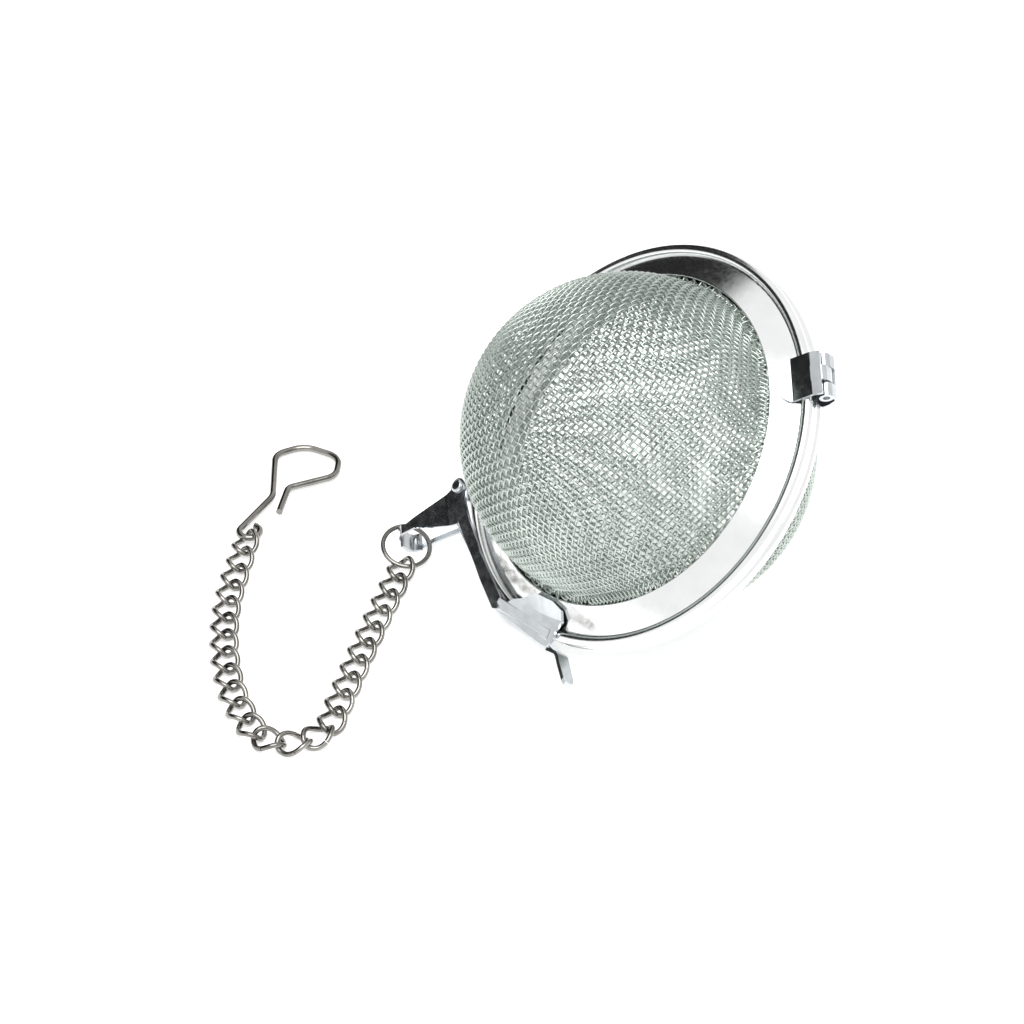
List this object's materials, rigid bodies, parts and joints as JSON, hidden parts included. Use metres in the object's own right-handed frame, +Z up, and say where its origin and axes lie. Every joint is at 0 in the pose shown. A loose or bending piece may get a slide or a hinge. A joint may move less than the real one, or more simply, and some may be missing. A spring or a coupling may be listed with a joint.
{
  "type": "tea infuser",
  "caption": "Hinged woven-wire tea ball with a spring catch lever, jump ring, curb chain and wire hook.",
  "frame": {"origin": "middle of the footprint of the infuser as it lies with its chain laid out, on the table", "axes": "+Z up from the table; the front dome faces -Y and up, and the chain lies towards -X and -Y"},
  "size_m": [0.0834, 0.0905, 0.0509],
  "materials": {
    "rim_steel": "polished",
    "mesh_steel": "woven wire",
    "latch_steel": "polished",
    "chain_steel": "bright drawn wire"
  },
  "bodies": {
    "rear_cup": {"rear_rim": "rim_steel", "rear_mesh": "mesh_steel", "rear_mesh_retainer": "rim_steel", "hinge_rear_leaf": "latch_steel", "hinge_pin": "latch_steel", "latch_bracket": "latch_steel", "latch_rivet": "latch_steel"},
    "front_cup": {"front_rim": "rim_steel", "front_mesh": "mesh_steel", "front_mesh_retainer": "rim_steel", "hinge_front_leaf": "latch_steel"},
    "latch": {"latch": "latch_steel"},
    "jump_ring": {"jump_ring": "chain_steel"},
    "chain_link_01": {"chain_link_01": "chain_steel"},
    "chain_link_02": {"chain_link_02": "chain_steel"},
    "chain_link_03": {"chain_link_03": "chain_steel"},
    "chain_link_04": {"chain_link_04": "chain_steel"},
    "chain_link_05": {"chain_link_05": "chain_steel"},
    "chain_link_06": {"chain_link_06": "chain_steel"},
    "chain_link_07": {"chain_link_07": "chain_steel"},
    "chain_link_08": {"chain_link_08": "chain_steel"},
    "chain_link_09": {"chain_link_09": "chain_steel"},
    "chain_link_10": {"chain_link_10": "chain_steel"},
    "chain_link_11": {"chain_link_11": "chain_steel"},
    "chain_link_12": {"chain_link_12": "chain_steel"},
    "chain_link_13": {"chain_link_13": "chain_steel"},
    "chain_link_14": {"chain_link_14": "chain_steel"},
    "chain_link_15": {"chain_link_15": "chain_steel"},
    "chain_link_16": {"chain_link_16": "chain_steel"},
    "chain_link_17": {"chain_link_17": "chain_steel"},
    "chain_link_18": {"chain_link_18": "chain_steel"},
    "chain_link_19": {"chain_link_19": "chain_steel"},
    "chain_link_20": {"chain_link_20": "chain_steel"},
    "chain_link_21": {"chain_link_21": "chain_steel"},
    "chain_link_22": {"chain_link_22": "chain_steel"},
    "chain_link_23": {"chain_link_23": "chain_steel"},
    "chain_link_24": {"chain_link_24": "chain_steel"},
    "chain_link_25": {"chain_link_25": "chain_steel"},
    "hook": {"hook": "chain_steel"}
  },
  "joints": [
    {"name": "lid_hinge", "type": "hinge", "parent": "rear_cup", "child": "front_cup", "pos_m": [0.03102, 0.03663, 0.04342], "axis": [-0.788, 0.4222, 0.4481], "range_deg": [0, 110]},
    {"name": "latch_pivot", "type": "hinge", "parent": "rear_cup", "child": "latch", "pos_m": [-0.00954, 0.00225, 0.01022], "axis": [0, 0.7278, -0.6858], "range_deg": [0, 13]},
    {"name": "ring_swing", "type": "hinge", "parent": "latch", "child": "jump_ring", "pos_m": [-0.01165, -0.00525, 0.00131], "axis": [0.3469, -0.0188, 0.9377], "range_deg": [-12, 3]},
    {"name": "turn_01", "type": "hinge", "parent": "jump_ring", "child": "chain_link_01", "pos_m": [-0.00784, -0.00808, 0.00118], "axis": [0, 0, 1], "range_deg": [-10, 10]},
    {"name": "lift_02", "type": "hinge", "parent": "chain_link_01", "child": "chain_link_02", "pos_m": [-0.00552, -0.0105, 0.00112], "axis": [-0.723, -0.6909, 0], "range_deg": [-10, 10]},
    {"name": "turn_03", "type": "hinge", "parent": "chain_link_02", "child": "chain_link_03", "pos_m": [-0.00296, -0.01317, 0.00106], "axis": [0, 0, -1], "range_deg": [-16, 16]},
    {"name": "lift_04", "type": "hinge", "parent": "chain_link_03", "child": "chain_link_04", "pos_m": [-0.00039, -0.01582, 0.00106], "axis": [0.7157, 0.6984, 0], "range_deg": [-16, 16]},
    {"name": "turn_05", "type": "hinge", "parent": "chain_link_04", "child": "chain_link_05", "pos_m": [0.00221, -0.01846, 0.00106], "axis": [0, 0, 1], "range_deg": [-16, 16]},
    {"name": "lift_06", "type": "hinge", "parent": "chain_link_05", "child": "chain_link_06", "pos_m": [0.00482, -0.02108, 0.00106], "axis": [0.7059, 0.7083, 0], "range_deg": [-16, 16]},
    {"name": "turn_07", "type": "hinge", "parent": "chain_link_06", "child": "chain_link_07", "pos_m": [0.00745, -0.02369, 0.00106], "axis": [0, 0, -1], "range_deg": [-16, 16]},
    {"name": "lift_08", "type": "hinge", "parent": "chain_link_07", "child": "chain_link_08", "pos_m": [0.0101, -0.02627, 0.00106], "axis": [-0.6959, -0.7181, 0], "range_deg": [-16, 16]},
    {"name": "turn_09", "type": "hinge", "parent": "chain_link_08", "child": "chain_link_09", "pos_m": [0.01276, -0.02884, 0.00106], "axis": [0, 0, 1], "range_deg": [-16, 16]},
    {"name": "lift_10", "type": "hinge", "parent": "chain_link_09", "child": "chain_link_10", "pos_m": [0.01545, -0.03138, 0.00106], "axis": [-0.6858, -0.7278, 0], "range_deg": [-16, 16]},
    {"name": "turn_11", "type": "hinge", "parent": "chain_link_10", "child": "chain_link_11", "pos_m": [0.01767, -0.03419, 0.00106], "axis": [0, 0, -1], "range_deg": [-12, 12]},
    {"name": "lift_12", "type": "hinge", "parent": "chain_link_11", "child": "chain_link_12", "pos_m": [0.01842, -0.03748, 0.00106], "axis": [0.9971, -0.0767, 0], "range_deg": [-12, 12]},
    {"name": "turn_13", "type": "hinge", "parent": "chain_link_12", "child": "chain_link_13", "pos_m": [0.01718, -0.04063, 0.00106], "axis": [0, 0, 1], "range_deg": [-12, 12]},
    {"name": "lift_14", "type": "hinge", "parent": "chain_link_13", "child": "chain_link_14", "pos_m": [0.01438, -0.04253, 0.00106], "axis": [0.2957, -0.9553, 0], "range_deg": [-12, 12]},
    {"name": "turn_15", "type": "hinge", "parent": "chain_link_14", "child": "chain_link_15", "pos_m": [0.01085, -0.04297, 0.00106], "axis": [0, 0, -1], "range_deg": [-16, 16]},
    {"name": "lift_16", "type": "hinge", "parent": "chain_link_15", "child": "chain_link_16", "pos_m": [0.00718, -0.04259, 0.00106], "axis": [0.1521, 0.9884, 0], "range_deg": [-16, 16]},
    {"name": "turn_17", "type": "hinge", "parent": "chain_link_16", "child": "chain_link_17", "pos_m": [0.00357, -0.04184, 0.00106], "axis": [0, 0, 1], "range_deg": [-16, 16]},
    {"name": "lift_18", "type": "hinge", "parent": "chain_link_17", "child": "chain_link_18", "pos_m": [0.00003, -0.04076, 0.00106], "axis": [0.3313, 0.9435, 0], "range_deg": [-16, 16]},
    {"name": "turn_19", "type": "hinge", "parent": "chain_link_18", "child": "chain_link_19", "pos_m": [-0.00342, -0.03943, 0.00106], "axis": [0, 0, -1], "range_deg": [-16, 16]},
    {"name": "lift_20", "type": "hinge", "parent": "chain_link_19", "child": "chain_link_20", "pos_m": [-0.00678, -0.03789, 0.00106], "axis": [-0.4439, -0.8961, 0], "range_deg": [-16, 16]},
    {"name": "turn_21", "type": "hinge", "parent": "chain_link_20", "child": "chain_link_21", "pos_m": [-0.01004, -0.03615, 0.00106], "axis": [0, 0, 1], "range_deg": [-16, 16]},
    {"name": "lift_22", "type": "hinge", "parent": "chain_link_21", "child": "chain_link_22", "pos_m": [-0.01319, -0.03422, 0.00106], "axis": [-0.5498, -0.8353, 0], "range_deg": [-16, 16]},
    {"name": "turn_23", "type": "hinge", "parent": "chain_link_22", "child": "chain_link_23", "pos_m": [-0.01621, -0.03209, 0.00106], "axis": [0, 0, -1], "range_deg": [-16, 16]},
    {"name": "lift_24", "type": "hinge", "parent": "chain_link_23", "child": "chain_link_24", "pos_m": [-0.01914, -0.02983, 0.00113], "axis": [0.6239, 0.7815, 0], "range_deg": [-16, 16]},
    {"name": "turn_25", "type": "hinge", "parent": "chain_link_24", "child": "chain_link_25", "pos_m": [-0.02203, -0.02752, 0.00129], "axis": [0, 0, 1], "range_deg": [-10, 10]},
    {"name": "hook_swing", "type": "hinge", "parent": "chain_link_25", "child": "hook", "pos_m": [-0.02437, -0.02565, 0.00137], "axis": [0, 0, 1], "range_deg": [-12, 12]}
  ]
}
